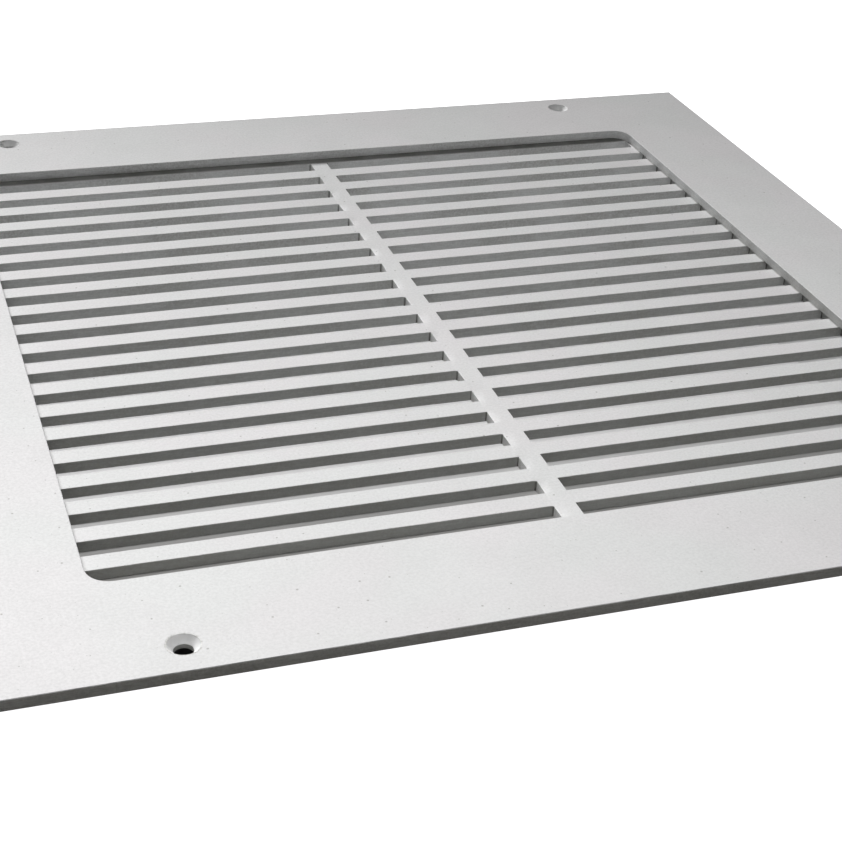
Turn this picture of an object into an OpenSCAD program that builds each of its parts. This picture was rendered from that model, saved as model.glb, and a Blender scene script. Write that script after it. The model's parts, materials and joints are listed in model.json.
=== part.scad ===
// Roof vent cover: a square face frame with a slotted panel bonded to its back.
// The origin is at the middle of the face frame's mounting face, which lies in z = 0. The slotted
// panel hangs below that face, into the roof opening, and the face frame's show face points to +Z.

/* [Face frame] */
// Outside width and length of the face frame
frame_w = 331; // [310:1:360]
// Thickness of the face frame's sheet
frame_t = 3.2; // [2:0.1:6]
// Width and length of the opening in the face frame
opening_w = 255; // [248:0.5:256]
// Radius of the opening's corners
opening_r = 6.35; // [3:0.05:20]

/* [Slotted panel] */
// Outside width and length of the slotted panel
panel_w = 279.4; // [264:0.1:290]
// Thickness of the slotted panel's sheet
panel_t = 3.2; // [2:0.1:6]
// Distance from one slat to the next
slat_pitch = 12.7; // [10:0.05:13]
// Width of one slat
slat_w = 6.2; // [4:0.05:8]
// Number of slats across the opening
slat_count = 19; // [11:2:19]
// Width of the centre bar that joins the slats halfway along
centre_bar_w = 6.2; // [4:0.1:20]
// Length of one slot, from the centre bar to its outer end
slot_length = 126; // [110:0.5:127]

/* [Screw holes] */
// Distance between screw holes along the front or back border
hole_pitch_x = 221; // [180:0.5:240]
// Distance between the front and back rows of screw holes
hole_pitch_y = 311.5; // [306:0.5:313]
// Diameter of the clearance hole
hole_d = 4.8; // [4:0.1:5.5]
// Diameter of the countersink where it meets the show face
sink_d = 8; // [6:0.1:9]
// Full angle of the countersink
sink_angle = 82; // [82:1:100]

/* [Hidden] */

// One slot lies between each two slats, with one more outside the first and the last.
slot_w = slat_pitch - slat_w;
slot_count = slat_count + 1;
// Depth of the countersink, from its two diameters and its angle
sink_depth = (sink_d - hole_d) / 2 / tan(sink_angle / 2);
// How far a cutter runs past the faces that it cuts
over = 1;

// An upright block centred on the origin in plan, from height z to height z + t
module slab(w, l, z, t) {
    translate([-w / 2, -l / 2, z]) cube([w, l, t]);
}

// The opening's cutter: a cross of two blocks, with a true cylinder in each corner
module rounded_block(w, r, z, t) {
    slab(w - 2 * r, w, z, t);
    slab(w, w - 2 * r, z, t);
    for (sx = [-1, 1], sy = [-1, 1])
        translate([sx * (w / 2 - r), sy * (w / 2 - r), z]) cylinder(h = t, r = r, $fn = 64);
}

// A clearance hole that opens into a countersink at the show face
module countersunk_hole() {
    translate([0, 0, -over]) cylinder(h = frame_t + 2 * over, d = hole_d, $fn = 64);
    translate([0, 0, frame_t - sink_depth])
        cylinder(h = sink_depth + over, d1 = hole_d,
                 d2 = sink_d + 2 * over * tan(sink_angle / 2), $fn = 64);
}

// A flat square ring with four countersunk screw holes, two in the front border and two in the back
module face_frame() {
    color("gainsboro") difference() {
        slab(frame_w, frame_w, 0, frame_t);
        rounded_block(opening_w, opening_r, -over, frame_t + 2 * over);
        for (sx = [-1, 1], sy = [-1, 1])
            translate([sx * hole_pitch_x / 2, sy * hole_pitch_y / 2, 0]) countersunk_hole();
    }
}

// One sheet with two columns of square-ended slots. What stays between them is the slats, the
// centre bar and a plain border, which is bonded under the face frame.
module slotted_panel() {
    first_y = -(slot_count - 1) / 2 * slat_pitch - slot_w / 2;
    color("whitesmoke") difference() {
        slab(panel_w, panel_w, -panel_t, panel_t);
        for (i = [0 : slot_count - 1], x = [-centre_bar_w / 2 - slot_length, centre_bar_w / 2])
            translate([x, first_y + i * slat_pitch, -panel_t - over])
                cube([slot_length, slot_w, panel_t + 2 * over]);
    }
}

face_frame();
slotted_panel();
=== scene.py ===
"""Looks of the roof vent cover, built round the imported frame.

The cover is two sheets of matte off-white plastic: a square face frame with four countersunk
screw holes, and a slotted panel bonded to its back. Both are cut from one kind of grid mesh,
cut_sheet, and both wear the same sheet plastic, with rougher sawn and routed edges.
"""

import json
import math

import bpy
import numpy as np
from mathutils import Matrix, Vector


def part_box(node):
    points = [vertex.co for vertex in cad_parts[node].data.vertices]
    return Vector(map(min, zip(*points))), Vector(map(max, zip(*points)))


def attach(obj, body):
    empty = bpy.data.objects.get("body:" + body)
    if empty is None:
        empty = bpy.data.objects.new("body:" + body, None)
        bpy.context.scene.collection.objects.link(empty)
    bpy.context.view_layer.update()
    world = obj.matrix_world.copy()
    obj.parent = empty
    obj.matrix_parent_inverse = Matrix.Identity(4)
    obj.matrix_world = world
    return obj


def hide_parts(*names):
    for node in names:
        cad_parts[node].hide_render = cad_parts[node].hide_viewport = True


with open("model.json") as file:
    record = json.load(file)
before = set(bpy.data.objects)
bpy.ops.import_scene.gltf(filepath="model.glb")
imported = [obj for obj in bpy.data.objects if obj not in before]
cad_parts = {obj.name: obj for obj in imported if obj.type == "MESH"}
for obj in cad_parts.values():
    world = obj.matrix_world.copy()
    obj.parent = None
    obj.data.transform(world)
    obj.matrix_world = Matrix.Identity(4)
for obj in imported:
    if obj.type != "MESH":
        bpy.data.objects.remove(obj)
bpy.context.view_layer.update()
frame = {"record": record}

# ---------------------------------------------------------------- sizes, in metres
frame_high = np.array(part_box("face_frame")[1])
panel_low, panel_high = (np.array(corner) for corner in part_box("slotted_panel"))
screws = next(m["dims"] for m in frame["record"]["mounts"] if m["name"] == "screw_holes")

OPENING_HALF = 0.1275  # half the width of the face frame's opening
OPENING_R = 0.00635  # radius of the opening's corners
HOLE_X = screws["spacing_x_mm"] / 2000  # screw hole's distance from the middle, along X
HOLE_Y = screws["spacing_y_mm"] / 2000  # the same along Y
HOLE_R = screws["hole_r_mm"] / 1000  # radius of the clearance hole
SINK_R = 0.004  # radius of the countersink at the show face
SINK_SLOPE = math.tan(math.radians(49))  # rise of the countersink's wall over its run
SINK_REACH = 0.009  # from the hole's middle to where the grid is square again
SLOT_COUNT = 20
PITCH = 0.0127  # from one slat to the next
SLAT_W = 0.0062
SLOT_HALF = (PITCH - SLAT_W) / 2
BAR_HALF = 0.0031  # half the width of the centre bar
SLOT_END = BAR_HALF + 0.126
FRAME_BREAK = 0.00016  # width of the small bevel left on the face frame's edges
SLOT_BREAK = 0.0001  # the same on the slots

# how the grids are spaced
HOLE_STEPS = 7  # lines across half a screw hole, and across its countersink
BESIDE_SINK = np.array([FRAME_BREAK, 0.0005, 0.002])  # lines just outside the countersink
BESIDE_OPENING = np.array([FRAME_BREAK, 0.0015, 0.004, 0.008])  # and outside the opening
CORNER_STEPS = 9  # lines across a corner of the opening
CORNER_REACH = 0.008  # from a corner's arc to where the grid is square again
PLAIN_STEPS = 76  # even lines from the middle of the face frame to its edge
PLAIN_GAP = 0.0008  # an even line nearer than this to another one is left out
SLOT_STEPS = 158  # lines along half a slot row
SLOT_END_LINES = np.array([0.0003, 0.0006])  # lines just inside a slot's ends
BORDER_X, BORDER_Y = 0.135, 0.133  # one line in the slotted panel's hidden border

# what the saw, the router and the bit left
RIPPLE_HIGH, RIPPLE_LONG = 0.00004, 0.00009  # rings in a countersink
WOBBLE = 0.00007  # a countersink's rise and fall round its lip
CHIP_RARE = 0.72  # share of the outer edge's points with hardly a chip
CHIP_DEEP, CHIP_FAINT = 0.0007, 0.00003  # depth of the chips, and of the other points
CHIP_IN = 0.6  # how far a chip reaches in, for its depth
SLOW_HIGH, SLOW_LONG = 0.00003, 0.031  # slow wander of a slot's wall
QUICK_HIGH, QUICK_LONG = 0.00002, 0.0045  # quick wander
JITTER = 0.000016
UNCUT_SHORT, UNCUT_LONG, UNCUT_DEEP = 0.0006, 0.0016, 0.0009  # uncut corners at the bar
SHY, SHY_MORE = 0.00012, 0.00033  # how far the far walls were cut short, and the most on top
SHY_RUN = 0.25  # width over which that changes
RAGGED_IN, RAGGED_OUT = -0.00022, 0.00008  # ragged slot ends at the bar
LAST_SLOT_END = 0.1266  # the last slot of the right column stops short here
LIP_WORN, LIP_PATCHY = 2.2, 1.6  # wear of a countersink's lip, and how much it comes and goes


# ---------------------------------------------------------------- sheets on a grid of lines
def lines(*parts):
    """All the given grid lines and their mirror images, in order, with near doubles dropped."""
    every = np.concatenate([np.atleast_1d(np.asarray(p, float)) for p in parts])
    every = np.unique(np.round(np.concatenate([every, -every]), 7))
    return every[np.concatenate([[True], np.diff(every) > 1e-6])]


def on_an_edge(solid):
    """Marks the grid points that touch both a solid cell and a cut one or the outside."""
    around = np.pad(solid, 1).astype(int)
    touching = around[1:, 1:] + around[1:, :-1] + around[:-1, 1:] + around[:-1, :-1]
    return (touching > 0) & (touching < 4)


def cut_sheet(name, solid, low, high, sawn, marks):
    """One sheet as a closed mesh. low and high hold a point for each crossing of the grid lines:
    the sheet's bottom and top faces. Only the solid cells become faces, and each border between
    a solid cell and a cut one becomes a wall from low to high. The face attribute cut_edge is 0
    on the flat faces, 1 on routed walls and 2 on the walls of sawn cells, and end_wall is 1 on
    the walls that face along X. marks holds more attributes by name, each with a value for each
    crossing, for the low and the high points."""
    rows, columns = high.shape[:2]
    top = np.arange(rows * columns).reshape(rows, columns)
    bottom = top + rows * columns

    def corners(j, i, grid):
        return [grid[j + dj, i + di] for dj, di in ((0, 0), (0, 1), (1, 1), (1, 0))]

    j, i = np.nonzero(solid)
    faces = [np.stack(corners(j, i, top), -1), np.stack(corners(j, i, bottom)[::-1], -1)]
    kinds = [np.zeros(2 * len(j))]
    across = [np.zeros(2 * len(j))]
    around = np.pad(solid, 1)
    sides = (  # the neighbour's shift, then the wall's first and second corner in the cell
        ((-1, 0), (0, 0), (0, 1)),
        ((1, 0), (1, 1), (1, 0)),
        ((0, -1), (1, 0), (0, 0)),
        ((0, 1), (0, 1), (1, 1)),
    )
    for (dj, di), (j0, i0), (j1, i1) in sides:  # four sides of a cell, each done for all cells
        neighbour = around[1 + dj : rows + dj, 1 + di : columns + di]
        j, i = np.nonzero(solid & ~neighbour)
        p, q = (j + j0, i + i0), (j + j1, i + i1)
        faces.append(np.stack([top[p], bottom[p], bottom[q], top[q]], -1))
        kinds.append(1.0 + sawn[j, i])
        across.append(np.full(len(j), float(di != 0)))
    faces, kinds, across = np.concatenate(faces), np.concatenate(kinds), np.concatenate(across)

    points = np.concatenate([high.reshape(-1, 3), low.reshape(-1, 3)])
    used, packed = np.unique(faces, return_inverse=True)
    mesh = bpy.data.meshes.new(name)
    mesh.vertices.add(len(used))
    mesh.vertices.foreach_set("co", points[used].ravel())
    mesh.loops.add(faces.size)
    mesh.loops.foreach_set("vertex_index", packed.ravel())
    mesh.polygons.add(len(faces))
    mesh.polygons.foreach_set("loop_start", np.arange(0, faces.size, 4))
    mesh.polygons.foreach_set("use_smooth", np.ones(len(faces), bool))
    mesh.update(calc_edges=True)
    mesh.set_sharp_from_angle(angle=math.radians(30))
    mesh.attributes.new("cut_edge", "FLOAT", "FACE").data.foreach_set("value", kinds)
    mesh.attributes.new("end_wall", "FLOAT", "FACE").data.foreach_set("value", across)
    for mark, values in marks.items():
        both = np.concatenate([values[1].ravel(), values[0].ravel()])[used]
        mesh.attributes.new(mark, "FLOAT", "POINT").data.foreach_set("value", both)
    piece = bpy.data.objects.new(name, mesh)
    bpy.context.scene.collection.objects.link(piece)
    return piece


# ---------------------------------------------------------------- face frame
def rounded_squares(px, py, cx, cy, full_r, reach, corner_only=False):
    """Turns nested squares about (cx, cy) into nested circles. A point at square distance s (the
    larger of its two offsets) goes to distance s along its own direction, out to full_r; from
    there to reach the squares come back. corner_only does it only beyond (cx, cy), seen from
    the middle of the sheet. Also gives s."""
    dx, dy = px - cx, py - cy
    ox, oy = abs(dx), abs(dy)
    if corner_only:
        ox, oy = np.maximum(dx * np.sign(cx), 0), np.maximum(dy * np.sign(cy), 0)
    square, straight = np.maximum(ox, oy), np.hypot(ox, oy)
    back = np.clip((square - full_r) / (reach - full_r), 0, 1)
    scale = (1 - back) * square / np.maximum(straight, 1e-12) + back
    scale = np.where((ox > 0) & (oy > 0), scale, 1)
    return cx + dx * scale, cy + dy * scale, square


def face_frame():
    """A square ring. Its opening's corners and its four screw holes are squares on the grid that
    rounded_squares makes round. The countersink is a fall of the top face towards each hole: its
    distance inside the lip times the slope, with a sine of that distance for the bit's rings and
    a product of sines of the angle for its wobble. The outer edge's top points drop by a random
    chip. Marks: worn_edge on the cut edges and, patchy, on the countersinks' lips; fresh in the
    countersinks."""
    half, thick = frame_high[0], frame_high[2]
    bore = np.linspace(0, HOLE_R, HOLE_STEPS)
    cone = np.linspace(HOLE_R, SINK_R, HOLE_STEPS)
    hole = np.concatenate([bore, cone, SINK_R + BESIDE_SINK, [SINK_REACH]])
    hole = np.concatenate([-hole[:0:-1], hole])
    opening = OPENING_HALF + BESIDE_OPENING
    corner = OPENING_HALF - OPENING_R * np.linspace(0, 1, CORNER_STEPS)
    arc = OPENING_HALF - OPENING_R

    def with_plain(special):
        """The special lines, with even ones wherever there is room between them."""
        plain = np.linspace(0, half, PLAIN_STEPS)[:-1]
        gap = abs(plain[:, None] - special).min(1)
        return lines(special, plain[gap > PLAIN_GAP])

    edge = [half, half - FRAME_BREAK]
    x = with_plain(np.concatenate([edge, opening, corner, HOLE_X + hole]))
    y = with_plain(np.concatenate([edge, opening, corner, HOLE_Y + hole]))
    mid_x, mid_y = np.meshgrid((x[1:] + x[:-1]) / 2, (y[1:] + y[:-1]) / 2)
    reach = np.maximum(abs(mid_x), abs(mid_y))
    solid = reach > OPENING_HALF
    solid &= np.maximum(abs(abs(mid_x) - HOLE_X), abs(abs(mid_y) - HOLE_Y)) > HOLE_R
    rim = on_an_edge(solid)

    px, py = np.meshgrid(x, y)
    outer = np.maximum(abs(px), abs(py)) > half - 1e-6
    top = thick - FRAME_BREAK * rim
    bottom = FRAME_BREAK * rim
    fresh = np.zeros(px.shape)
    worn = rim * 1.0
    for sx in (-1, 1):
        for sy in (-1, 1):
            cx, cy = sx * HOLE_X, sy * HOLE_Y
            px, py, ring = rounded_squares(px, py, cx, cy, SINK_R, SINK_REACH)
            turn = np.arctan2(py - cy, px - cx)
            ripple = RIPPLE_HIGH * np.sin(ring / RIPPLE_LONG + 2 * np.sin(turn + sx) + sy)
            wobble = WOBBLE * np.sin(3 * turn + sx) * np.sin(2 * turn + sy)
            fall = (SINK_R - ring + wobble) * SINK_SLOPE + ripple
            inside = ring < SINK_R + FRAME_BREAK / 2
            fresh = np.where(ring < SINK_R + 1e-6, 1.0, fresh)
            lip = abs(ring - SINK_R) < FRAME_BREAK * 1.1
            patchy = np.sin(3 * turn + sx) * np.sin(5 * turn)
            worn = np.where(lip, LIP_WORN + LIP_PATCHY * patchy, worn)
            top = np.where(inside, thick - np.clip(fall, 0, (SINK_R - HOLE_R) * SINK_SLOPE), top)
            px, py, _ = rounded_squares(
                px, py, sx * arc, sy * arc, OPENING_R + FRAME_BREAK, OPENING_R + CORNER_REACH, True
            )
    chip = np.random.default_rng(3).uniform(0, 1, px.shape)
    deep = np.clip(chip - CHIP_RARE, 0, 1) * CHIP_DEEP
    chip = np.where(outer, deep + CHIP_FAINT * chip, 0)
    top = top - chip
    shrink = 1 - np.where(outer, chip * CHIP_IN, 0) / half
    none = np.zeros(px.shape)
    return cut_sheet(
        "face_frame_sheet",
        solid,
        np.stack([px, py, bottom], -1),
        np.stack([px * shrink, py * shrink, top], -1),
        (reach > half - FRAME_BREAK).astype(float),
        {"worn_edge": (rim * 1.0, worn), "corner_shade": (none, none), "fresh": (none, fresh)},
    )


# ---------------------------------------------------------------- slotted panel
def slot_walls(x):
    """How far each slot's near and far wall stand off their straight line at each x, in metres:
    two sines of x and a jitter for each wall, a parabola at the bar where a corner was left
    uncut, and a straight share by which the far walls were cut short."""
    near = np.zeros((SLOT_COUNT, len(x)))
    far = np.zeros_like(near)
    rng = np.random.default_rng(7)
    for wall in (near, far):
        phase = rng.uniform(0, 2 * math.pi, (3, SLOT_COUNT, 1))
        slow = SLOW_HIGH * np.sin(x / SLOW_LONG + phase[0])
        wall += slow + QUICK_HIGH * np.sin(x / QUICK_LONG + phase[1])
        wall += rng.normal(0, JITTER, wall.shape)
    # uncut corners where the left column's slots stop at the centre bar
    length = rng.uniform(UNCUT_SHORT, UNCUT_LONG, (SLOT_COUNT, 1))
    depth = UNCUT_DEEP * rng.uniform(0, 1, (SLOT_COUNT, 1)) ** 3
    into = np.clip((x + BAR_HALF) / length + 1, 0, 1) * (x < -BAR_HALF + 1e-6)
    far -= depth * into**2
    # the far walls were cut a little short, most in the far slots of the left column
    row = np.arange(SLOT_COUNT)[:, None] / (SLOT_COUNT - 1)
    far -= SHY + SHY_MORE * row * np.clip(0.5 - x / SHY_RUN, 0, 1)
    return near, far


def slotted_panel():
    """A square sheet with two columns of slots. Every slot has four lines along it, its two walls and
    their edge breaks, and each line is shifted along Y by slot_walls. The slot ends at the bar's left
    side are shifted along X at random. Marks: worn_edge on the cut edges, and painted shade at the
    ends of the far walls, where their corners lie in shade, less at the top."""
    half, low_z, high_z = panel_high[0], panel_low[2], panel_high[2]
    x = lines(
        [half, half - SLOT_BREAK, BORDER_X, SLOT_END + SLOT_BREAK, BAR_HALF - SLOT_BREAK, 0],
        SLOT_END - SLOT_END_LINES,
        BAR_HALF + SLOT_END_LINES,
        np.linspace(BAR_HALF, SLOT_END, SLOT_STEPS),
    )
    middle = (np.arange(SLOT_COUNT) - (SLOT_COUNT - 1) / 2) * PITCH
    wall = np.array([-SLOT_HALF - SLOT_BREAK, -SLOT_HALF, SLOT_HALF, SLOT_HALF + SLOT_BREAK])
    border = np.array([BORDER_Y, half - SLOT_BREAK, half])
    y = np.concatenate([-border[::-1], (middle[:, None] + wall).ravel(), border])
    slots = slice(len(border), len(border) + 4 * SLOT_COUNT)

    mid_x, mid_y = np.meshgrid((x[1:] + x[:-1]) / 2, (y[1:] + y[:-1]) / 2)
    between = np.abs(mid_y[..., None] - middle).min(-1) > SLOT_HALF
    solid = between | (abs(mid_x) < BAR_HALF) | (abs(mid_x) > SLOT_END)
    solid |= (mid_y > middle[-1] - SLOT_HALF) & (mid_x > LAST_SLOT_END)
    rim = on_an_edge(solid)

    px, py = np.meshgrid(x, y)
    near, far = slot_walls(x)
    shift = np.stack([near, near, far, far], 1).reshape(4 * SLOT_COUNT, -1)
    py[slots] += shift
    ragged = np.random.default_rng(11).uniform(RAGGED_IN, RAGGED_OUT, py[slots].shape)
    px[slots] += ragged * (abs(px[slots] + BAR_HALF) < 1e-6)
    from_end = np.minimum(abs(abs(x) - SLOT_END), abs(abs(x) - BAR_HALF))
    far_lines = np.tile([0.0, 0.0, 1.0, 1.0], SLOT_COUNT)
    none = np.zeros(px.shape)
    # painted shade at the ends of each far wall, where the slot's corners lie in shade
    corner_shade = none.copy()
    corner_shade[slots] = (from_end < 0.00035) * far_lines[:, None]
    return cut_sheet(
        "slotted_panel_sheet",
        solid,
        np.stack([px, py, low_z + SLOT_BREAK * rim], -1),
        np.stack([px, py, high_z - SLOT_BREAK * rim], -1),
        (np.maximum(abs(mid_x), abs(mid_y)) > half - SLOT_BREAK).astype(float),
        {
            "worn_edge": (rim * 1.0, rim * 1.0),
            "corner_shade": (corner_shade, 0.6 * corner_shade),
            "fresh": (none, none),
        },
    )


# ---------------------------------------------------------------- shader groups
def group(name, inputs, outputs):
    """An empty shader node group with float or vector inputs and float outputs."""
    tree = bpy.data.node_groups.new(name, "ShaderNodeTree")
    for label, kind in inputs:
        tree.interface.new_socket(label, in_out="INPUT", socket_type=kind)
    for label in outputs:
        tree.interface.new_socket(label, in_out="OUTPUT", socket_type="NodeSocketFloat")
    return tree, tree.nodes.new("NodeGroupInput"), tree.nodes.new("NodeGroupOutput")


def node(tree, kind, **settings):
    """A new node. Settings that name one of the node's own properties set it. The others name an
    input, with _ for a blank, and set it or link into it."""
    made = tree.nodes.new(kind)
    for label, value in settings.items():
        if hasattr(made, label) and label not in ("inputs", "outputs"):
            setattr(made, label, value)
            continue
        socket = made.inputs[label.replace("_", " ")]
        if isinstance(value, bpy.types.NodeSocket):
            tree.links.new(value, socket)
        else:
            socket.default_value = value
    return made


def ramp(tree, value, low, high, to_low, to_high):
    """The value carried smoothly from low..high to to_low..to_high."""
    made = node(
        tree,
        "ShaderNodeMapRange",
        interpolation_type="SMOOTHSTEP",
        Value=value,
        From_Min=low,
        From_Max=high,
        To_Min=to_low,
        To_Max=to_high,
    )
    return made.outputs[0]


def math_node(tree, operation, *values):
    """The sum, product or other operation on links and numbers."""
    made = tree.nodes.new("ShaderNodeMath")
    made.operation = operation
    for socket, value in zip(made.inputs, values):
        if isinstance(value, bpy.types.NodeSocket):
            tree.links.new(value, socket)
        else:
            socket.default_value = value
    return made.outputs[0]


def speckle_group():
    """The sheet's rolled face: Speckle is a fine grain, and Mottle a slow change from place to
    place. Height is the grain with a little of the mottle."""
    tree, given, put = group(
        "rolled_face", [("Vector", "NodeSocketVector"), ("Grain", "NodeSocketFloat")],
        ("Speckle", "Mottle", "Height"),
    )
    at, grain = given.outputs["Vector"], given.outputs["Grain"]
    fine = node(tree, "ShaderNodeTexNoise", Vector=at, Scale=grain, Detail=3.0, Roughness=0.65)
    coarse = math_node(tree, "MULTIPLY", grain, 0.045)
    slow = node(tree, "ShaderNodeTexNoise", Vector=at, Scale=coarse, Detail=4.0, Roughness=0.6)
    tree.links.new(ramp(tree, fine.outputs[0], 0.25, 0.75, 0.0, 1.0), put.inputs["Speckle"])
    tree.links.new(ramp(tree, slow.outputs[0], 0.3, 0.7, 0.0, 1.0), put.inputs["Mottle"])
    height = math_node(tree, "MULTIPLY_ADD", slow.outputs[0], 0.4, fine.outputs[0])
    tree.links.new(height, put.inputs["Height"])
    return tree


def specks_group():
    """Dust: a cell pattern with a round speck in a share of its cells, each of its own size.
    Mask is 1 in a speck."""
    tree, given, put = group(
        "dust_specks",
        [("Vector", "NodeSocketVector"), ("Cells", "NodeSocketFloat"), ("Share", "NodeSocketFloat")],
        ("Mask",),
    )
    cell = node(
        tree, "ShaderNodeTexVoronoi", voronoi_dimensions="2D",
        Vector=given.outputs["Vector"], Scale=given.outputs["Cells"],
    )
    chance = node(tree, "ShaderNodeSeparateColor", Color=cell.outputs["Color"])
    size = math_node(tree, "MULTIPLY_ADD", chance.outputs["Green"], 0.034, 0.006)
    reach = math_node(tree, "DIVIDE", cell.outputs["Distance"], size)
    inside = ramp(tree, reach, 0.6, 1.3, 1.0, 0.0)
    chosen = math_node(tree, "LESS_THAN", chance.outputs["Red"], given.outputs["Share"])
    tree.links.new(math_node(tree, "MULTIPLY", inside, chosen), put.inputs["Mask"])
    return tree


def cutter_group():
    """The marks of a saw or a router on a wall: Streak is a noise drawn out along the sheet into
    thin lines, with a finer one over it. Height is the same before it is spread to 0..1."""
    tree, given, put = group(
        "cutter_marks", [("Vector", "NodeSocketVector")], ("Streak", "Height")
    )
    flat = node(
        tree, "ShaderNodeMapping", Vector=given.outputs["Vector"], Scale=(0.12, 0.12, 1.0)
    )
    lay = node(tree, "ShaderNodeTexNoise", Vector=flat.outputs[0], Scale=2600.0, Detail=3.0)
    fuzz = node(
        tree, "ShaderNodeTexNoise", Vector=given.outputs["Vector"], Scale=1500.0, Detail=3.0
    )
    both = math_node(tree, "MULTIPLY_ADD", fuzz.outputs[0], 0.7, lay.outputs[0])
    tree.links.new(ramp(tree, both, 0.55, 1.15, 0.0, 1.0), put.inputs["Streak"])
    tree.links.new(both, put.inputs["Height"])
    return tree


rolled_face, dust_specks, cutter_marks = speckle_group(), specks_group(), cutter_group()


# ---------------------------------------------------------------- materials
FACE_WARM, FACE_COOL = (0.815, 0.80, 0.805, 1), (0.80, 0.805, 0.80, 1)  # the rolled face
MOTTLE, GRAIN = (0.3, 0.3, 0.28, 1), (0.25, 0.25, 0.24, 1)  # mixed thinly into it
FRESH = (0.95, 0.95, 0.945, 1)  # countersinks and the slot ends at the bar
WALL_SHADED, WALL_LIT = (0.53, 0.535, 0.52, 1), (0.86, 0.87, 0.87, 1)  # routed walls: painted shade at the near rows, painted light at the far rows
STREAK = (0.2, 0.2, 0.19, 1)  # the cutter's lines on them
SAWN_DARK, SAWN_LIGHT = (0.60, 0.585, 0.545, 1), (0.76, 0.75, 0.71, 1)  # outer edge
WORN = (0.42, 0.41, 0.38, 1)
# painted shade for the joint and for the slots' corners, then dust
JOINT_SHADE, CORNER_SHADE, DUST = (0.15, 0.15, 0.135, 1), (0.06, 0.06, 0.055, 1), (0.2, 0.19, 0.16, 1)
WALLS_FROM, WALLS_TO = -0.13, 0.14  # where along Y the routed walls go from painted shade to painted light


def mix(tree, share, first, second):
    """Colour mix: first at 0 and second at 1."""
    made = node(tree, "ShaderNodeMix", data_type="RGBA")
    for socket, value in zip((made.inputs[0], made.inputs[6], made.inputs[7]), (share, first, second)):
        if isinstance(value, bpy.types.NodeSocket):
            tree.links.new(value, socket)
        else:
            socket.default_value = value
    return made.outputs[2]


def joint_shade(tree, part, routed, patch):
    """Painted shade where the panel meets the face frame, standing in for the frame's shadow on the
    margin: a share from 0 to 1 on the flat faces below the frame's top, patchy. It lies thick along
    the whole far margin and thin by the other sides."""
    from_x = math_node(tree, "SUBTRACT", OPENING_HALF, math_node(tree, "ABSOLUTE", part["X"]))
    from_y = math_node(tree, "SUBTRACT", OPENING_HALF, part["Y"])
    beside = ramp(tree, from_x, 0.0, 0.0009, 0.5, 0.0)
    behind = ramp(tree, from_y, 0.0026, 0.0042, 0.97, 0.0)
    share = math_node(tree, "MAXIMUM", beside, behind)
    flat = math_node(tree, "SUBTRACT", 1.0, routed)
    below = ramp(tree, part["Z"], 0.0005, 0.001, 1.0, 0.0)
    share = math_node(tree, "MULTIPLY", share, math_node(tree, "MULTIPLY", flat, below))
    return math_node(tree, "MULTIPLY", share, ramp(tree, patch, 0.0, 1.0, 0.86, 1.0))


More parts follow.
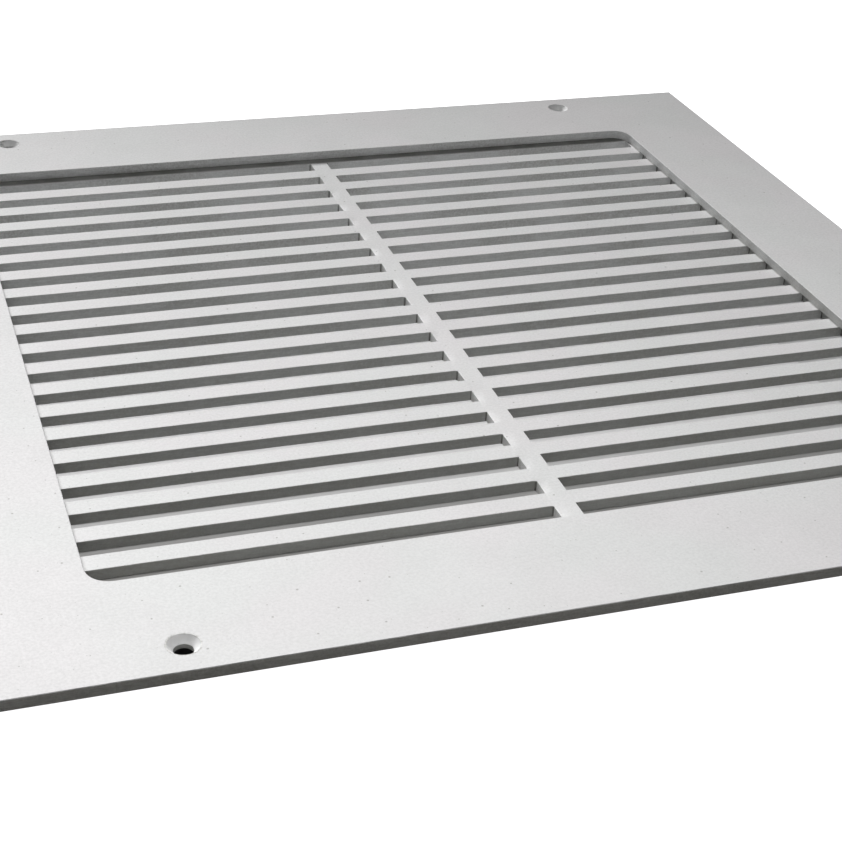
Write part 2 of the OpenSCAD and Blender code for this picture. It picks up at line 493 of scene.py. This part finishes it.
def off_white(name, shift):
    """Matte off-white sheet: a rolled face with a fine grain and a faint change of tint, routed walls
    with painted shade towards the near rows and painted light towards the far rows, duller sawn edges,
    the cutter's lines in both, paler fresh cuts in the countersinks and at the bar, dust on the flat
    faces, and painted shade by the joint and in the slots' corners."""
    material = bpy.data.materials.new(name)
    material.use_nodes = True
    tree = material.node_tree
    shader = tree.nodes["Principled BSDF"]
    shader.inputs["Specular IOR Level"].default_value = 0.4
    place = node(tree, "ShaderNodeTexCoord").outputs["Object"]
    at = node(tree, "ShaderNodeMapping", Vector=place, Location=(shift, -shift, 0.0)).outputs[0]

    def grouped(which, **settings):
        """The outputs of a shader group, with its inputs linked or set."""
        made = node(tree, "ShaderNodeGroup", node_tree=which)
        for label, value in settings.items():
            if isinstance(value, bpy.types.NodeSocket):
                tree.links.new(value, made.inputs[label])
            else:
                made.inputs[label].default_value = value
        return made.outputs

    def attribute(label):
        return node(tree, "ShaderNodeAttribute", attribute_name=label).outputs["Fac"]

    face = grouped(rolled_face, Vector=at, Grain=1300.0)
    dust = grouped(dust_specks, Vector=at, Cells=120.0, Share=0.55)
    fluff = grouped(dust_specks, Vector=at, Cells=240.0, Share=0.5)
    cutter = grouped(cutter_marks, Vector=at)
    cut = attribute("cut_edge")
    routed = ramp(tree, cut, 0.2, 0.8, 0.0, 1.0)
    sawn = ramp(tree, cut, 1.2, 1.8, 0.0, 1.0)

    tint = node(tree, "ShaderNodeTexNoise", Vector=at, Scale=24.0, Detail=2.0).outputs[0]
    tint = ramp(tree, tint, 0.35, 0.65, 0.0, 1.0)
    colour = mix(tree, tint, FACE_WARM, FACE_COOL)
    dull = mix(tree, 0.05, colour, MOTTLE)
    colour = mix(tree, face["Mottle"], colour, dull)
    grain = mix(tree, 0.17, colour, GRAIN)
    colour = mix(tree, face["Speckle"], colour, grain)
    across = node(tree, "ShaderNodeSeparateXYZ", Vector=place).outputs
    # painted shade on the routed walls at the near rows, painted light at the far rows
    wall_lit_share = ramp(tree, across["Y"], WALLS_FROM, WALLS_TO, 0.0, 1.0)
    wall = mix(tree, wall_lit_share, WALL_SHADED, WALL_LIT)
    wall = mix(tree, math_node(tree, "MULTIPLY", cutter["Streak"], 0.25), wall, STREAK)
    by_bar = ramp(tree, math_node(tree, "ABSOLUTE", across["X"]), 0.004, 0.006, 1.0, 0.0)
    bar_end = math_node(tree, "MULTIPLY", attribute("end_wall"), by_bar)
    wall = mix(tree, bar_end, wall, FRESH)
    colour = mix(tree, math_node(tree, "MULTIPLY", attribute("fresh"), 0.95), colour, FRESH)
    colour = mix(tree, routed, colour, wall)
    edge = mix(tree, cutter["Streak"], SAWN_DARK, SAWN_LIGHT)
    colour = mix(tree, sawn, colour, edge)
    # painted shade along the joint of panel and face frame, thick on the far margin
    colour = mix(tree, joint_shade(tree, across, routed, face["Mottle"]), colour, JOINT_SHADE)
    # painted shade in the corners at the ends of the slots' far walls
    side_wall = math_node(tree, "SUBTRACT", routed, attribute("end_wall"))
    corner = math_node(tree, "MULTIPLY", attribute("corner_shade"), side_wall)
    colour = mix(tree, math_node(tree, "MULTIPLY", corner, 0.95), colour, CORNER_SHADE)
    worn = math_node(tree, "MULTIPLY", attribute("worn_edge"), ramp(tree, tint, 0.3, 0.9, 0.1, 0.5))
    worn = math_node(tree, "MULTIPLY", worn, face["Speckle"])
    colour = mix(tree, worn, colour, WORN)
    specks = math_node(tree, "MAXIMUM", dust["Mask"], math_node(tree, "MULTIPLY", fluff["Mask"], 0.6))
    specks = math_node(tree, "MULTIPLY", specks, math_node(tree, "SUBTRACT", 1.0, routed))
    colour = mix(tree, math_node(tree, "MULTIPLY", specks, 0.5), colour, DUST)
    tree.links.new(colour, shader.inputs["Base Color"])

    rough = math_node(tree, "MULTIPLY_ADD", face["Speckle"], 0.1, 0.5)
    rough = math_node(tree, "MULTIPLY_ADD", routed, 0.2, rough)
    tree.links.new(rough, shader.inputs["Roughness"])
    skin = node(tree, "ShaderNodeBump", Height=face["Height"], Strength=0.35, Distance=0.00004)
    relief = math_node(tree, "MULTIPLY", cutter["Height"], routed)
    bump = node(
        tree, "ShaderNodeBump", Height=relief, Strength=0.6, Distance=0.00008,
        Normal=skin.outputs[0],
    )
    tree.links.new(bump.outputs[0], shader.inputs["Normal"])
    return material


# ---------------------------------------------------------------- build
for make, name, slot, finish, shift in (
    (face_frame, "face_frame", "frame_sheet", "rolled_frame_sheet", 0.0),
    (slotted_panel, "slotted_panel", "panel_sheet", "rolled_panel_sheet", 0.713),
):
    piece = make()
    piece.data.materials.append(off_white(finish, shift))
    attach(piece, "root")
    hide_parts(name)


# ---------------------------------------------------------------- floor, light and camera
UNDER_SLOTS, BEYOND = 0.15, 1.15  # how strongly the floor glows: painted light under the slots, plain white outside
FLOOR, FLOOR_BOUNCE = (0.9, 0.9, 0.9, 1), (0.3, 0.3, 0.3, 1)  # as seen, and as it lights the work
FLOOR_NEAR, FLOOR_FAR = (0.38, 0.375, 0.365, 1), (0.4, 0.4, 0.39, 1)  # painted shade under the first, last rows
# painted shadow under the work's rim
FLOOR_RIM = (0.12, 0.12, 0.12, 1)
NEAR_ROWS, FAR_ROWS = (-0.12, -0.07), (0.03, 0.12)  # along Y, in metres
GLOW_FROM, GLOW_END = (-0.115, -0.075), (0.1052, 0.1062)  # along Y, and along X
RIM_FROM, RIM_TO = (0.134, 0.1385), (0.1582, 0.1612)  # the rim's shade, from the middle


def pale_floor():
    """A white sweep. It gives little light back to the work. To the camera it is plain white outside
    the work, with a painted shadow under its rim. Under the slots it is pale, with painted shade
    towards the near and the far rows, and a weak glow of painted light that stops short of the right
    column's ends."""
    material = bpy.data.materials.new("pale_floor")
    material.use_nodes = True
    tree = material.node_tree
    shader = tree.nodes["Principled BSDF"]
    shader.inputs["Roughness"].default_value = 0.9
    seen = node(tree, "ShaderNodeLightPath").outputs["Is Camera Ray"]
    place = node(tree, "ShaderNodeTexCoord").outputs["Object"]
    part = node(tree, "ShaderNodeSeparateXYZ", Vector=place).outputs
    reach = math_node(
        tree, "MAXIMUM", math_node(tree, "ABSOLUTE", part[0]), math_node(tree, "ABSOLUTE", part[1])
    )
    pale = mix(tree, ramp(tree, part[1], *NEAR_ROWS, 0.0, 1.0), FLOOR_NEAR, FLOOR)
    pale = mix(tree, ramp(tree, part[1], *FAR_ROWS, 0.0, 1.0), pale, FLOOR_FAR)
    pale = mix(tree, ramp(tree, reach, *RIM_FROM, 0.0, 1.0), pale, FLOOR_RIM)
    outside = ramp(tree, reach, *RIM_TO, 0.0, 1.0)
    pale = mix(tree, outside, pale, FLOOR)
    tree.links.new(mix(tree, seen, FLOOR_BOUNCE, pale), shader.inputs["Base Color"])
    # painted light: a glow on the floor under the slots, seen by the camera only
    under = ramp(tree, reach, *RIM_FROM, UNDER_SLOTS, 0.0)
    under = math_node(tree, "MULTIPLY", under, ramp(tree, part[1], *GLOW_FROM, 0.0, 1.0))
    under = math_node(tree, "MULTIPLY", under, ramp(tree, part[0], *GLOW_END, 1.0, 0.0))
    under = math_node(tree, "MULTIPLY", under, ramp(tree, part[1], *FAR_ROWS, 1.0, 0.0))
    beyond = math_node(tree, "MULTIPLY", outside, BEYOND)
    glow = math_node(tree, "MULTIPLY", math_node(tree, "ADD", under, beyond), seen)
    tree.links.new(glow, shader.inputs["Emission Strength"])
    shader.inputs["Emission Color"].default_value = (1, 1, 1, 1)
    return material


side, floor_z = 3.0, panel_low[2]
floor_mesh = bpy.data.meshes.new("floor")
floor_mesh.from_pydata(
    [(-side, -side, floor_z), (side, -side, floor_z), (side, side, floor_z), (-side, side, floor_z)],
    [],
    [(0, 1, 2, 3)],
)
floor = bpy.data.objects.new("floor", floor_mesh)
bpy.context.scene.collection.objects.link(floor)
floor_mesh.materials.append(pale_floor())

world = bpy.data.worlds.new("studio")
bpy.context.scene.world = world
world.use_nodes = True
sky = world.node_tree
seen = node(sky, "ShaderNodeLightPath").outputs["Is Camera Ray"]
back = sky.nodes["Background"]
back.inputs["Color"].default_value = (1, 1, 1, 1)
# the work is lit by 0.03 of the white that the camera sees
sky.links.new(math_node(sky, "MULTIPLY_ADD", seen, 0.97, 0.03), back.inputs["Strength"])


def light(name, kind, place, aim, energy, **settings):
    """A lamp at place that looks at aim. The window is a sun, so only its direction counts."""
    lamp = bpy.data.lights.new(name, kind)
    lamp.energy = energy
    for label, value in settings.items():
        setattr(lamp, label, value)
    made = bpy.data.objects.new(name, lamp)
    made.location = place
    made.rotation_euler = (Vector(place) - Vector(aim)).to_track_quat("Z", "Y").to_euler()
    bpy.context.scene.collection.objects.link(made)


light("window", "SUN", (-0.13, 0.831, 0.54), (0, 0, 0), 2.75, angle=math.radians(15))
light(
    "lamp", "AREA", (-0.12, -0.06, 0.7), (-0.1, -0.17, 0), 0.37,
    shape="SQUARE", size=0.15, spread=math.radians(70),
)
light(
    "fill", "AREA", (-0.2, -0.6, 0.5), (0.1, 0.12, 0), 0.02,
    shape="SQUARE", size=0.1, spread=math.radians(30),
)

lens = bpy.data.cameras.new("camera")
lens.lens = 75.02
lens.clip_start = 0.01
camera = bpy.data.objects.new("camera", lens)
camera.location = (-0.17411, -0.47123, 0.25087)
camera.rotation_euler = [math.radians(turn) for turn in (59.7429, -3.2112, -18.5793)]
bpy.context.scene.collection.objects.link(camera)
bpy.context.scene.camera = camera
bpy.context.scene.view_settings.view_transform = "Standard"
